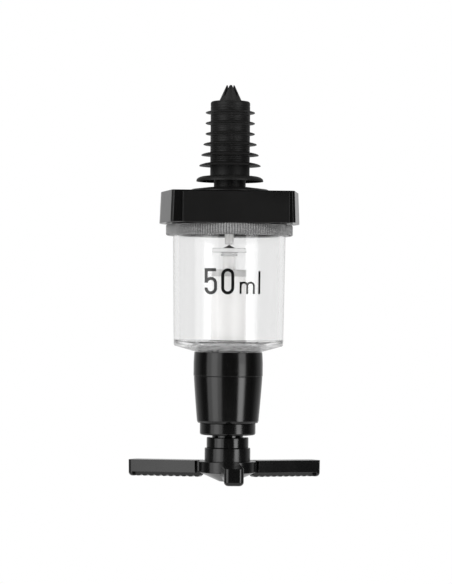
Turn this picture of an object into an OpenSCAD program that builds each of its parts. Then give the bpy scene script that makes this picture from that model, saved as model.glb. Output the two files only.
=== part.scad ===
// Spirit measure for an upside-down bottle: a stopper goes into the bottle's neck, a clear chamber fills
// with one measure, and a glass pressed up against three arms closes the inlet and opens the outlet.
// The origin is on the axis, level with the underside of the housing, and the front faces -Y.

/* [Stopper] */
// Radius of the stopper's core
core_r = 8.3; // [7.5:0.1:9]
// Height of the stopper, from the top flange to its shoulder
stopper_h = 36.2; // [34:0.2:44]
// Radius of the neck under the fins
stopper_neck_r = 6.7; // [5.5:0.1:7]
// Height of the neck under the fins
stopper_neck_h = 4; // [3:0.1:5]
// Height of the base fin's rim above the top flange
base_rim_h = 2.8; // [2.6:0.1:3.4]
// Rounding of the stopper's shoulder
shoulder_round = 1; // [0.4:0.1:1.5]
// Number of fins above the base fin
fin_count = 6; // [3:1:6]
// Depth of the top fin's rim below the shoulder
top_fin_drop = 4.7; // [4:0.1:5.2]
// Spacing of the fins above the base fin
fin_pitch = 4.46; // [3.6:0.02:4.6]
// Rim radius of the upper fins
fin_rim_r = 10.4; // [9.5:0.1:11]
// Growth in rim radius from fin to fin, below the upper three
fin_growth = 0.85; // [0.2:0.05:1]
// Rim radius of the base fin
base_fin_r = 14.1; // [12:0.1:15]
// Drop of a fin for each millimetre that it reaches out
fin_droop = 0.22; // [0.1:0.01:0.4]
// Thickness of a fin at the core
fin_root_t = 1.4; // [1:0.1:2]
// Thickness of a fin at its rim
fin_rim_t = 0.35; // [0.25:0.05:0.6]

/* [Inlet tube] */
// Outer radius of the tube through the stopper
tube_r = 4; // [3.6:0.1:4.4]
// Bore radius of the tube through the stopper
tube_bore_r = 2.6; // [2:0.1:3]
// Height of the pointed tip above the shoulder
tip_h = 6.8; // [5:0.1:8]
// Radius of the tip at the shoulder
tip_base_r = 4.8; // [4.5:0.1:5.5]
// Radius of the tip at its top
tip_top_r = 1.7; // [1.2:0.1:2]
// Depth of the tip's crossed slots
slot_h = 4.5; // [3:0.1:4.8]
// Width of a slot at the tip's top
slot_top_w = 1.7; // [0.8:0.1:1.9]
// Width of a slot at its bottom
slot_foot_w = 0.7; // [0.5:0.1:0.8]

/* [Housing] */
// Height of the housing
housing_h = 13.1; // [12:0.1:18]
// Width of the housing's front face
front_w = 51.2; // [47:0.2:54]
// Distance that the lock ring stands out in front of the front face
front_set = 1.15; // [0.4:0.05:1.6]
// Reach of the housing's round back past the lock ring
back_reach = 2.75; // [1.8:0.05:4]
// Chamfer of the two front corners
corner_cut = 0.9; // [0.4:0.1:1.5]
// Thickness of the housing's roof
roof_t = 3.5; // [2.5:0.1:4.5]
// Depth of the round collar below the housing
collar_h = 1.2; // [0.8:0.1:1.6]
// Reach of the round collar past the chamber's wall
collar_reach = 0.55; // [0.45:0.05:0.7]
// Thickness of the collar's wall, round the pocket
collar_wall = 3.2; // [2.8:0.1:5]
// Depth of the rebate round the collar, which leaves a land for the bracket
rebate_h = 0.3; // [0.2:0.1:0.6]
// Radius of the top flange
top_flange_r = 16.8; // [14:0.1:20]
// Height of the top flange at its rim
top_flange_rim_h = 1.4; // [1:0.1:1.8]
// Rise of the top flange from its rim to the stopper
top_flange_rise = 0.9; // [0.4:0.1:1.4]
// Chamfer at the top flange's rim
top_flange_cut = 0.3; // [0.2:0.1:0.6]
// Width of the flat shelf round the stopper's core
top_flange_shelf = 0.5; // [0.3:0.1:1]
// Radius of the top flange's sleeve in the roof
top_sleeve_r = 7; // [6:0.1:8]

/* [Label plate] */
// Width of the bare plate on the front
label_w = 44; // [30:0.5:46]
// Distance that the plate sits to the right of the middle
label_x = 1.2; // [0:0.1:1.5]
// Thickness of the plate
label_t = 0.7; // [0.5:0.05:1]
// Distance of the plate's top edge below the housing's top
label_top_gap = 0.5; // [0.2:0.1:1.5]
// Distance that the plate reaches below the housing
label_drop = 0.2; // [0:0.05:0.25]

/* [Lock ring] */
// Thickness of the lock ring's wall
ring_wall = 2.35; // [2:0.05:3.2]
// Gap between the housing and the lock ring
ring_gap = 0.35; // [0.3:0.05:0.5]
// Number of ribs round the ring
knurl_count = 148; // [60:1:180]
// Depth of the ribs
knurl_depth = 0.25; // [0.15:0.05:0.4]
// Thickness of the lip under the chamber's flange
lip_t = 1; // [0.8:0.1:1.4]

/* [Chamber] */
// Outer radius of the chamber under the ring
chamber_top_r = 23.65; // [23:0.05:25]
// Draft of the chamber's wall, from its rim to its bottom corner
chamber_draft = 0.65; // [0.25:0.05:1.1]
// Thickness of the chamber's wall
chamber_wall = 2.2; // [1.6:0.1:2.6]
// Height of the chamber, from its rim to its bottom corner
chamber_h = 48; // [44:0.5:60]
// Drop of the coned underside
chamber_cone_h = 2.3; // [1.8:0.1:3.4]
// Radius at which the coned underside ends
chamber_cone_r = 14.25; // [13:0.05:16]
// Rounding of the bottom corner
chamber_round = 0.7; // [0.3:0.1:1]
// Thickness of the floor at the wall
floor_t = 1.9; // [1.5:0.1:2.2]
// Height of the floor round the outlet
floor_web_t = 2; // [1.6:0.1:2.4]
// Thickness of the chamber's flange
flange_t = 0.8; // [0.6:0.1:1.2]
// Reach of the chamber's flange past its wall
flange_reach = 0.5; // [0.4:0.05:0.5]
// Thickness of the gasket on the chamber's rim
gasket_t = 0.8; // [0.5:0.1:1.2]
// Thickness of the plate that closes the chamber
seat_plate_t = 1.2; // [1:0.1:1.6]
// Wall of the socket that holds the inlet tube
socket_wall = 3.2; // [2:0.1:4]
// Depth of the seat plate's rim below it, inside the chamber's mouth
plate_rim_h = 2.2; // [1.5:0.1:2.4]
// Wall of the seat plate's rim
plate_rim_t = 1.1; // [0.8:0.1:1.2]
// Radius of the outlet in the floor
outlet_r = 6.3; // [5.8:0.1:7]
// Outer radius of the chamber's neck
neck_r = 11; // [10.5:0.1:11.2]
// Width of the flat seat round the outlet, past the seal
land_w = 1.2; // [0.6:0.1:2]
// Thickness of the neck's wall
neck_wall = 1.6; // [1.2:0.1:1.8]
// Height of the neck
neck_h = 7; // [6:0.1:8]

/* [Inlet valve] */
// Outer radius of the inlet spout
spout_r = 1.9; // [1.8:0.05:2.2]
// Bore radius of the inlet spout
spout_bore_r = 1.4; // [1.1:0.05:1.5]
// Length of the inlet spout below the plate
spout_h = 6.1; // [5:0.1:7]
// Gap between the spout's mouth and the cone's point
valve_gap = 0.2; // [0.1:0.05:0.4]
// Radius of the valve's cone
cone_r = 2.6; // [2.3:0.1:3.2]
// Height of the valve's cone
cone_h = 1.5; // [1.2:0.1:2]
// Radius of the clear disc
disc_r = 7.2; // [6:0.1:8]
// Thickness of the clear disc
disc_t = 1.8; // [1.2:0.1:2]
// Radius of the boss under the disc
disc_boss_r = 3.6; // [3.2:0.1:4.5]
// Height of the boss under the disc
disc_boss_h = 1.4; // [1:0.1:1.8]
// Radius of the valve's stem
stem_r = 2.7; // [2.4:0.1:3]
// Radius of the foot that holds the stem in the column
stem_foot_r = 4.4; // [4:0.1:4.5]
// Thickness of that foot
stem_foot_t = 1.2; // [0.8:0.1:1.6]

/* [Column] */
// Radius of the column
column_r = 7.3; // [6.8:0.1:8]
// Height of the column
column_h = 28.4; // [26:0.1:29]
// Radius of the column's bore
column_bore_r = 5; // [4.8:0.1:5.2]
// Depth of the column's bore
column_bore_h = 16; // [15:0.1:17]
// Height of the dark cap on the column
cap_h = 2.8; // [2:0.1:3.2]
// Length of the cap's sleeve in the column
cap_sleeve_h = 3; // [2:0.1:3.5]
// Thickness of the outlet seal's flange
outlet_seal_t = 1.1; // [0.8:0.1:1.5]
// Radius of the outlet seal's flange
outlet_seal_r = 7.8; // [7.4:0.1:8.4]
// Height of the outlet seal's plug
plug_h = 1.5; // [1:0.1:1.8]

/* [Body] */
// Radius of the upper band at its top
band_top_r = 14.3; // [13.6:0.05:14.6]
// Radius of the upper band below its taper
band_r = 14.55; // [14.2:0.05:15]
// Height of the upper band
band_h = 10.1; // [9.8:0.1:12]
// Chamfer at the upper band's top edge
band_cut = 0.4; // [0.2:0.1:0.6]
// Height of the upper band's taper
band_taper_h = 4.6; // [3:0.1:6]
// Length of the band's sleeve in the lower body
band_sleeve_h = 4.7; // [3:0.1:6]
// Wall of that sleeve
band_sleeve_wall = 1.7; // [1.4:0.1:1.9]
// Radius of the lower body at its top
shell_top_r = 14.4; // [14:0.05:15]
// Radius of the lower body at its bottom
shell_foot_r = 12.95; // [12.6:0.05:13.5]
// Height of the lower body
shell_h = 19.5; // [19.2:0.1:24]
// Power of the curve by which the lower body tapers, where 1 is straight
shell_curve = 1.15; // [1:0.05:1.6]
// Chamfer at the lower body's bottom edge
shell_cut = 0.8; // [0.4:0.1:1.2]
// Bore radius of the lower body, round the spring
spring_space_r = 8.8; // [8.2:0.1:9]
// Bore radius of the lower body, round the seal
seal_space_r = 9.6; // [9.4:0.1:9.9]
// Radius of the collar under the body
nut_r = 11.7; // [11.2:0.05:12.2]
// Height of the collar under the body
nut_h = 4.9; // [4.7:0.1:5.4]
// Rounding of that collar's lower edge
nut_round = 0.9; // [0.4:0.1:1]
// Thickness of the collar's web between its pocket and the rod's seal
web_t = 1.8; // [1.4:0.1:2.2]
// Thickness of the gasket under the neck
neck_gasket_t = 0.8; // [0.5:0.1:1]
// Thickness of the guide bush's flange
bush_t = 1.6; // [1.2:0.1:2]
// Radius of the guide bush's boss
bush_boss_r = 6; // [5.4:0.1:6.2]
// Height of the guide bush's boss
bush_boss_h = 4; // [3:0.1:5]
// Number of flow holes in the guide bush
bush_holes = 6; // [3:1:8]
// Radius of those flow holes
bush_hole_r = 1.2; // [0.8:0.1:1.3]
// Thickness of the rod's seal
rod_seal_t = 1.6; // [1.2:0.1:2]
// Thickness of the washer on the seal
washer_t = 0.6; // [0.4:0.1:0.8]

/* [Plunger] */
// Radius of the rod
rod_r = 4; // [3.6:0.1:4.2]
// Bore radius of the rod
rod_bore_r = 2.4; // [2:0.1:2.6]
// Length of the rod inside the column
rod_grip_h = 9.5; // [7:0.1:9.8]
// Radius of the rod's two side ports
port_r = 1.2; // [0.8:0.1:1.4]
// Height of the rod's bore above the side ports
port_head = 0.8; // [0.4:0.1:1.5]
// Radius of the stop ring on the rod
stop_r = 7.4; // [7.2:0.1:8]
// Thickness of the stop ring
stop_t = 1; // [0.8:0.1:1.4]
// Middle radius of the return spring
spring_r = 6.2; // [5.8:0.1:6.6]
// Wire radius of the return spring
spring_wire_r = 0.5; // [0.3:0.05:0.55]
// Turns of the return spring
spring_turns = 6; // [4:1:7]
// Middle radius of the valve's spring
valve_spring_r = 3.6; // [3:0.1:3.8]
// Wire radius of the valve's spring
valve_spring_wire_r = 0.3; // [0.2:0.05:0.35]
// Turns of the valve's spring
valve_spring_turns = 6; // [4:1:7]

/* [Lever] */
// Gap between the body's collar and the hub's upper ring at rest
rest_gap = 1; // [0.6:0.1:1.4]
// Radius of the hub's neck
hub_neck_r = 6.5; // [6:0.1:6.8]
// Radius of the hub's upper ring
hub_nut_r = 8.8; // [8.4:0.1:8.9]
// Height of the hub's upper ring
hub_nut_h = 4.4; // [4:0.1:4.6]
// Chamfer at the edges of the hub's rings
hub_cut = 0.35; // [0.2:0.05:0.5]
// Radius of the hub's lower ring
hub_sleeve_r = 9.6; // [9.3:0.05:10]
// Height of the hub's lower ring
hub_sleeve_h = 5.6; // [4.6:0.1:6.6]
// Radius of the hub's disc
hub_disc_r = 11.95; // [11:0.05:13]
// Height of the hub's disc
hub_disc_h = 4.7; // [4:0.1:5.4]
// Number of arms
arm_count = 3; // [3:1:4]
// Reach of an arm from the axis
arm_reach = 46; // [38:0.5:56]
// Width of an arm
arm_w = 8; // [6:0.1:10]
// Height of an arm above its ribbed foot
arm_h = 5.2; // [4.5:0.1:6]
// Distance from the axis at which an arm takes its full width
arm_start = 13.3; // [13:0.1:16]
// Width of the web between the disc and an arm
web_w = 5.4; // [4:0.1:6]
// Thickness of the wall that closes an arm's end, down to the teeth's tips
arm_end_t = 2.6; // [2.4:0.1:4]
// Rounding of an arm's outer lower corner
arm_tip_round = 2.2; // [1:0.1:2.6]
// Rounding of an arm's upright edges
arm_edge_round = 1.8; // [0.6:0.1:2]
// Width of the ribbed foot
foot_w = 5.2; // [3:0.1:5.4]
// Height of the ribbed foot down to the teeth
foot_h = 1.1; // [0.6:0.1:1.5]
// Number of teeth under an arm
tooth_count = 10; // [6:1:12]
// Depth of a tooth
tooth_h = 0.7; // [0.4:0.1:0.9]
// Drop of the nozzle's cone
nozzle_h = 3.8; // [3:0.1:5]
// Radius of the nozzle's end
nozzle_r = 3.4; // [3.2:0.1:4]
// Bore radius of the nozzle
nozzle_bore_r = 2.6; // [2.2:0.1:2.8]
// Outer radius of the nozzle's sleeve in the disc
nozzle_sleeve_r = 4.6; // [4.3:0.1:5.4]
// Length of the nozzle's sleeve in the disc
nozzle_sleeve_h = 3; // [2:0.1:3.5]

/* [Fits] */
// Clearance of a fixed sleeve in its bore
fit_gap = 0.05; // [0.03:0.01:0.08]
// Clearance of a sliding rod in its bore
slide_gap = 0.06; // [0.04:0.01:0.1]
// Clearance round a screwed joint
thread_gap = 0.1; // [0.08:0.01:0.15]
// Clearance round pieces that pass each other
free_gap = 0.3; // [0.2:0.05:0.4]
// Gap left at a stop
stop_gap = 0.2; // [0.1:0.05:0.3]
// Open seam between two pieces of the body
seam = 0.15; // [0.05:0.05:0.25]

/* [Hidden] */
$fn = 96;

black = "#161616";
soft_black = "#222222";
clear = [0.86, 0.89, 0.9, 0.35];
milky = "#e8e8e4";
steel = "#b8bcc0";
cut = 1;

// Heights above the housing's underside, from the housing up
flange_top_z = housing_h + top_flange_rim_h + top_flange_rise;
shoulder_z = flange_top_z + stopper_h;
roof_z = housing_h - roof_t;

// Heights of what the lock ring clamps, from the housing down
plate_z = -collar_h - seat_plate_t;
rim_z = plate_z - gasket_t;
flange_z = rim_z - flange_t;
ring_z = flange_z - lip_t;

// Radii that follow the chamber's
chamber_foot_r = chamber_top_r - chamber_draft;
flange_r = chamber_top_r + flange_reach;
collar_r = chamber_top_r + collar_reach;
pocket_r = collar_r - collar_wall;
ring_bore_r = max(flange_r, collar_r) + thread_gap;
ring_r = ring_bore_r + ring_wall;
front_y = ring_r - front_set;
back_r = ring_r + back_reach;

// Chamber
corner_z = rim_z - chamber_h;
foot_z = corner_z - chamber_cone_h;
neck_z = foot_z - neck_h;
outlet_seat_z = foot_z + floor_web_t;
chamber_top_bore = chamber_top_r - chamber_wall;
chamber_foot_bore = chamber_foot_r - chamber_wall;
neck_bore_r = neck_r - neck_wall;

// Body
bush_z = neck_z - neck_gasket_t - bush_t;
band_z = foot_z - seam;
band_foot_z = band_z - band_h;
shell_z = band_foot_z - seam;
shell_foot_z = shell_z - shell_h;
nut_z = shell_foot_z - seam;
nut_foot_z = nut_z - nut_h;
band_bore_r = neck_r + thread_gap;
band_sleeve_r = seal_space_r + band_sleeve_wall;

// Stroke of the lever, and the pockets that it needs
travel = rest_gap + hub_nut_h - stop_gap;
nut_pocket_z = nut_foot_z + travel - rest_gap + free_gap;
hub_neck_h = 2 * rest_gap;
neck_pocket_z = nut_pocket_z + hub_neck_h;
web_top_z = neck_pocket_z + web_t;
ledge_z = web_top_z + rod_seal_t + washer_t;

// Plunger
column_z = outlet_seat_z + outlet_seal_t;
column_top_z = column_z + column_h;
cap_z = column_top_z + cap_h;
column_floor_z = column_top_z - column_bore_h;
rod_top_z = column_z + rod_grip_h;
stop_z = ledge_z + stop_gap;
port_z = stop_z + stop_t + port_r + stop_gap;
hub_z = nut_foot_z - rest_gap;
sleeve_z = hub_z - hub_nut_h;
disc_z = sleeve_z - hub_sleeve_h;
disc_foot_z = disc_z - hub_disc_h;
rod_foot_z = disc_foot_z + nozzle_sleeve_h;
nozzle_z = disc_foot_z - nozzle_h;
arm_depth = arm_h + foot_h + tooth_h;

// Inlet valve
mouth_z = plate_z - spout_h;
cone_z = mouth_z - valve_gap - cone_h;
valve_disc_z = cone_z - disc_t;
stem_z = valve_disc_z - disc_boss_h;
cap_sleeve_z = column_top_z - cap_sleeve_h;
stem_foot_z = cap_sleeve_z - stop_gap - stem_foot_t;

// A ring or tube from height z up, by its outer and inner radii
module tube(outer_r, inner_r, z, h) {
    translate([0, 0, z])
        difference() {
            cylinder(h = h, r = outer_r);
            translate([0, 0, -cut])
                cylinder(h = h + 2 * cut, r = inner_r);
        }
}

// A round hole down the axis
module bore(r, z, h) {
    translate([0, 0, z])
        cylinder(h = h, r = r);
}

// Springs: one round wire on a helix
RINGS_PER_TURN = 8;
WIRE_SIDES = 6;

function helix_point(i, turns, r, foot_z, top_z) =
    let (a = 360 * i / RINGS_PER_TURN)
    [r * cos(a), r * sin(a), foot_z + (top_z - foot_z) * i / (turns * RINGS_PER_TURN)];

function wire_ring(i, turns, r, foot_z, top_z, wire_r) =
    let (
        a = 360 * i / RINGS_PER_TURN,
        out = [cos(a), sin(a), 0],
        rise = (top_z - foot_z) / turns / (2 * PI * r),
        along = [-sin(a), cos(a), rise] / sqrt(1 + rise * rise),
        up = cross(out, along),
        p = helix_point(i, turns, r, foot_z, top_z)
    )
    [for (k = [0:WIRE_SIDES - 1]) p + wire_r * (cos(360 * k / WIRE_SIDES) * out + sin(360 * k / WIRE_SIDES) * up)];

module coil(turns, r, foot_z, top_z, wire_r) {
    rings = turns * RINGS_PER_TURN;
    points = [for (i = [0:rings]) each wire_ring(i, turns, r, foot_z + wire_r, top_z - wire_r, wire_r)];
    sides = [
        for (i = [0:rings - 1], k = [0:WIRE_SIDES - 1])
            let (
                a = i * WIRE_SIDES + k,
                b = i * WIRE_SIDES + (k + 1) % WIRE_SIDES
            )
            each [[a, b, b + WIRE_SIDES], [a, b + WIRE_SIDES, a + WIRE_SIDES]]
    ];
    foot = [[for (k = [WIRE_SIDES - 1:-1:0]) k]];
    head = [[for (k = [0:WIRE_SIDES - 1]) rings * WIRE_SIDES + k]];
    polyhedron(points = points, faces = concat(sides, foot, head));
}

function coil_gap(turns, r, foot_z, top_z, wire_r) =
    min([
        for (i = [0:(turns - 1) * RINGS_PER_TURN])
            norm(
                helix_point(i, turns, r, foot_z + wire_r, top_z - wire_r)
                - helix_point(i + RINGS_PER_TURN, turns, r, foot_z + wire_r, top_z - wire_r)
            ) - 2 * wire_r
    ]);

echo(return_spring_gap = coil_gap(spring_turns, spring_r, stop_z + stop_t, bush_z, spring_wire_r));
echo(valve_spring_gap = coil_gap(
    valve_spring_turns, valve_spring_r, column_floor_z, stem_foot_z, valve_spring_wire_r
));
echo(lever_travel = travel);

// Tube through the stopper, with a pointed tip slotted crosswise
module inlet_tube() {
    color(black)
        difference() {
            union() {
                translate([0, 0, shoulder_z])
                    cylinder(h = tip_h, r1 = tip_base_r, r2 = tip_top_r);
                bore(tube_r, -collar_h, shoulder_z + collar_h);
            }
            bore(tube_bore_r, -collar_h - cut, shoulder_z + collar_h + cut + tip_h - slot_h);
            for (a = [45, 135])
                rotate([0, 0, a])
                    translate([0, 0, shoulder_z + tip_h])
                        rotate([90, 0, 0])
                            linear_extrude(4 * tip_base_r, center = true)
                                polygon([
                                    [-slot_foot_w / 2, -slot_h], [slot_foot_w / 2, -slot_h],
                                    [slot_top_w / 2, 0], [slot_top_w / 2, cut],
                                    [-slot_top_w / 2, cut], [-slot_top_w / 2, 0]
                                ]);
        }
}

// One drooping fin, from the core out to its rim
module fin(rim_r, rim_z) {
    reach = rim_r - core_r;
    root_z = rim_z + fin_droop * reach + fin_rim_t;
    rotate_extrude()
        polygon([
            [core_r - cut, root_z], [core_r, root_z],
            [core_r + 0.55 * reach, rim_z + 0.62 * fin_droop * reach],
            [rim_r - 0.1, rim_z],
            [rim_r, rim_z - fin_rim_t / 2],
            [rim_r - 0.1, rim_z - fin_rim_t],
            [core_r + 0.4 * reach, rim_z + 0.3 * fin_droop * reach - fin_rim_t],
            [core_r, root_z - fin_root_t], [core_r - cut, root_z - fin_root_t]
        ]);
}

// Rubber stopper: a core with drooping fins that grip the bottle's neck
module cork_bung() {
    color(soft_black)
        difference() {
            union() {
                bore(stopper_neck_r, flange_top_z, stopper_neck_h + cut);
                bore(core_r, flange_top_z + stopper_neck_h, stopper_h - stopper_neck_h - shoulder_round);
                translate([0, 0, shoulder_z - shoulder_round])
                    rotate_extrude()
                        union() {
                            square([core_r - shoulder_round, shoulder_round]);
                            intersection() {
                                translate([core_r - shoulder_round, 0])
                                    circle(shoulder_round);
                                square([core_r, shoulder_round]);
                            }
                        }
                for (i = [0:fin_count - 1])
                    fin(fin_rim_r + fin_growth * max(0, i - 2), shoulder_z - top_fin_drop - i * fin_pitch);
                fin(base_fin_r, flange_top_z + base_rim_h);
            }
            bore(tube_r + fit_gap, flange_top_z - cut, stopper_h + 2 * cut);
        }
}

// Round plate between the housing and the stopper, with a sleeve through the roof
module top_flange() {
    color(black)
        rotate_extrude()
            polygon([
                [tube_r + fit_gap, roof_z], [top_sleeve_r, roof_z], [top_sleeve_r, housing_h],
                [top_flange_r, housing_h],
                [top_flange_r, housing_h + top_flange_rim_h - top_flange_cut],
                [top_flange_r - top_flange_cut, housing_h + top_flange_rim_h],
                [core_r + top_flange_shelf, flange_top_z], [tube_r + fit_gap, flange_top_z]
            ]);
}

// Plan of the housing: a flat front, flaring sides and a round back that they run into smoothly
function side_tangent() =
    let (
        corner = [front_w / 2, -front_y],
        far = norm(corner),
        a = atan2(corner[1], corner[0]) + acos(back_r / far)
    )
    back_r * [cos(a), sin(a)];

module housing_plan() {
    t = side_tangent();
    union() {
        polygon([
            [-front_w / 2 + corner_cut, -front_y], [front_w / 2 - corner_cut, -front_y],
            [front_w / 2 + 0.15 * corner_cut, -front_y + corner_cut],
            t, [0, 0], [-t[0], t[1]],
            [-front_w / 2 - 0.15 * corner_cut, -front_y + corner_cut]
        ]);
        difference() {
            circle(back_r);
            translate([-2 * back_r, -2 * back_r + t[1]])
                square([4 * back_r, 2 * back_r]);
        }
    }
}

module housing() {
    color(black)
        difference() {
            union() {
                linear_extrude(housing_h)
                    housing_plan();
                bore(collar_r, -collar_h, collar_h + cut);
            }
            bore(pocket_r, -collar_h - cut, collar_h + cut + roof_z);
            tube(ring_r + free_gap, collar_r, -cut, cut + rebate_h);
            bore(top_sleeve_r + fit_gap, 0, housing_h + cut);
        }
}

// Bare plate on the front of the housing
module label_plate() {
    color(black)
        translate([label_x - label_w / 2, -front_y - label_t, -label_drop])
            cube([label_w, label_t, housing_h - label_top_gap + label_drop]);
}

// Plate that closes the chamber and draws the inlet tube down against the roof
module seat_plate() {
    socket_r = tube_r + socket_wall;
    rim_r = chamber_top_bore - seam;
    color(black)
        difference() {
            union() {
                bore(collar_r - thread_gap, plate_z, seat_plate_t);
                bore(socket_r, plate_z, roof_z - plate_z);
                tube(rim_r, rim_r - plate_rim_t, plate_z - plate_rim_h, plate_rim_h + seat_plate_t / 2);
            }
            bore(tube_r + fit_gap, -collar_h, roof_z + collar_h + cut);
            bore(spout_r + fit_gap, plate_z - cut, seat_plate_t + 2 * cut);
        }
}

// Spout that leads the spirit down to the valve
module inlet_spout() {
    color(milky)
        tube(spout_r, spout_bore_r, mouth_z, spout_h + seat_plate_t);
}

module chamber_gasket() {
    color(soft_black)
        tube(collar_r - thread_gap, chamber_top_bore, rim_z, gasket_t);
}

// Ribbed ring that clamps the chamber's flange to the housing's collar
module lock_ring() {
    ring_top_z = -ring_gap;
    ring_outline = [
        for (i = [0:2 * knurl_count - 1])
            let (r = i % 2 == 0 ? ring_r : ring_r - knurl_depth)
            r * [cos(180 * i / knurl_count), sin(180 * i / knurl_count)]
    ];
    color(clear)
        difference() {
            translate([0, 0, ring_z])
                linear_extrude(ring_top_z - ring_z)
                    polygon(ring_outline);
            bore(ring_bore_r, flange_z, ring_top_z - flange_z + cut);
            bore(chamber_top_r + thread_gap, ring_z - cut, lip_t + 2 * cut);
        }
}

// Clear measuring chamber with a coned underside and a neck for the body
module chamber() {
    corner_r = chamber_foot_r - chamber_round;
    floor_land_r = outlet_seal_r + land_w;
    color(clear)
        rotate_extrude()
            polygon([
                [chamber_top_bore, rim_z], [flange_r, rim_z], [flange_r, flange_z],
                [chamber_top_r, flange_z],
                for (a = [0:15:75])
                    [corner_r + chamber_round * cos(a), corner_z + chamber_round - chamber_round * sin(a)],
                [chamber_cone_r, foot_z],
                [neck_r, foot_z], [neck_r, neck_z], [neck_bore_r, neck_z],
                [neck_bore_r, foot_z], [outlet_r, foot_z], [outlet_r, outlet_seat_z],
                [floor_land_r, outlet_seat_z],
                [chamber_foot_bore, corner_z + floor_t]
            ]);
}

module neck_gasket() {
    color(soft_black)
        tube(neck_r, neck_bore_r, neck_z - neck_gasket_t, neck_gasket_t);
}

// Upper band of the black body, screwed on the chamber's neck
module body_collar() {
    color(black)
        rotate_extrude()
            polygon([
                [band_bore_r, band_z], [band_top_r - band_cut, band_z], [band_top_r, band_z - band_cut],
                [band_r, band_z - band_taper_h], [band_r, band_foot_z],
                [band_sleeve_r, band_foot_z], [band_sleeve_r, band_foot_z - band_sleeve_h],
                [seal_space_r, band_foot_z - band_sleeve_h], [seal_space_r, bush_z],
                [band_bore_r, bush_z]
            ]);
}

// Bush that guides the rod, lets the spirit through and holds the top of the return spring
module guide_bush() {
    hole_ring_r = (bush_boss_r + neck_bore_r) / 2;
    color(milky)
        difference() {
            union() {
                bore(neck_r, bush_z, bush_t);
                bore(bush_boss_r, bush_z, bush_t + bush_boss_h);
            }
            bore(rod_r + slide_gap, bush_z - cut, bush_t + bush_boss_h + 2 * cut);
            for (i = [0:bush_holes - 1])
                rotate([0, 0, 360 * i / bush_holes])
                    translate([hole_ring_r, 0, bush_z - cut])
                        cylinder(h = bush_t + 2 * cut, r = bush_hole_r);
        }
}

// Tapering lower body round the return spring
module body_shell() {
    color(black)
        rotate_extrude()
            polygon([
                [band_sleeve_r + thread_gap, shell_z],
                for (t = [0:0.2:1])
                    [
                        shell_top_r - (shell_top_r - shell_foot_r) * pow(t, shell_curve),
                        shell_z - (shell_h - shell_cut) * t
                    ],
                [shell_foot_r - shell_cut / 2, shell_foot_z],
                [seal_space_r, shell_foot_z], [seal_space_r, ledge_z], [spring_space_r, ledge_z],
                [spring_space_r, band_foot_z - band_sleeve_h - free_gap],
                [band_sleeve_r + thread_gap, band_foot_z - band_sleeve_h - free_gap]
            ]);
}

// Collar under the body: its sleeve clamps the rod's seal, and its pocket takes the hub
module nose_nut() {
    color(black)
        rotate_extrude()
            polygon([
                [rod_r + free_gap, web_top_z], [seal_space_r - thread_gap, web_top_z],
                [seal_space_r - thread_gap, nut_z], [nut_r, nut_z],
                for (a = [0:15:90])
                    [
                        nut_r - nut_round + nut_round * cos(a),
                        nut_foot_z + nut_round - nut_round * sin(a)
                    ],
                [hub_nut_r + free_gap, nut_foot_z], [hub_nut_r + free_gap, nut_pocket_z],
                [hub_neck_r + free_gap, nut_pocket_z], [hub_neck_r + free_gap, neck_pocket_z],
                [rod_r + free_gap, neck_pocket_z]
            ]);
}

module rod_seal() {
    color(soft_black)
        tube(seal_space_r - thread_gap, rod_r + slide_gap, web_top_z, rod_seal_t);
}

module seal_washer() {
    color(milky)
        tube(seal_space_r - thread_gap, rod_r + free_gap, web_top_z + rod_seal_t, washer_t);
}

// Pale column that lifts with the rod and holds the valve's spring
module column() {
    color(milky)
        difference() {
            bore(column_r, column_z, column_h);
            bore(column_bore_r, column_floor_z, column_bore_h + cut);
            bore(rod_r + fit_gap, column_z - cut, rod_grip_h + cut);
        }
}

// Dark cap that keeps the valve's stem in the column
module column_cap() {
    color(soft_black)
        difference() {
            union() {
                bore(column_r, column_top_z, cap_h);
                bore(column_bore_r - fit_gap, cap_sleeve_z, cap_sleeve_h + cut);
            }
            bore(stem_r + slide_gap, cap_sleeve_z - cut, cap_h + cap_sleeve_h + 2 * cut);
        }
}

// Rubber seal under the column, which closes the outlet in the floor
module outlet_seal() {
    color(soft_black)
        difference() {
            union() {
                bore(outlet_seal_r, outlet_seat_z, outlet_seal_t);
                bore(outlet_r - free_gap, outlet_seat_z - plug_h, plug_h + outlet_seal_t);
            }
            bore(rod_r + fit_gap, outlet_seat_z - plug_h - cut, plug_h + outlet_seal_t + 2 * cut);
        }
}

// Rod from the column to the hub: solid above its side ports, hollow below them
module plunger_rod() {
    color(milky)
        difference() {
            bore(rod_r, rod_foot_z, rod_top_z - rod_foot_z);
            bore(rod_bore_r, rod_foot_z - cut, port_z + port_r + port_head - rod_foot_z + cut);
            translate([0, 0, port_z])
                rotate([90, 0, 0])
                    cylinder(h = 4 * rod_r, r = port_r, center = true);
        }
}

module plunger_stop() {
    color(steel)
        tube(stop_r, rod_r + fit_gap, stop_z, stop_t);
}

module return_spring() {
    color(steel)
        coil(spring_turns, spring_r, stop_z + stop_t, bush_z, spring_wire_r);
}

module valve_spring() {
    color(steel)
        coil(valve_spring_turns, valve_spring_r, column_floor_z, stem_foot_z, valve_spring_wire_r);
}

// Upper ring of the hub, with the neck that slides into the body
module hub_nut() {
    color(black)
        rotate_extrude()
            polygon([
                [rod_r + fit_gap, hub_z + hub_neck_h], [hub_neck_r, hub_z + hub_neck_h],
                [hub_neck_r, hub_z], [hub_nut_r - hub_cut, hub_z], [hub_nut_r, hub_z - hub_cut],
                [hub_nut_r, sleeve_z + hub_cut], [hub_nut_r - hub_cut, sleeve_z],
                [rod_r + fit_gap, sleeve_z]
            ]);
}

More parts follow.
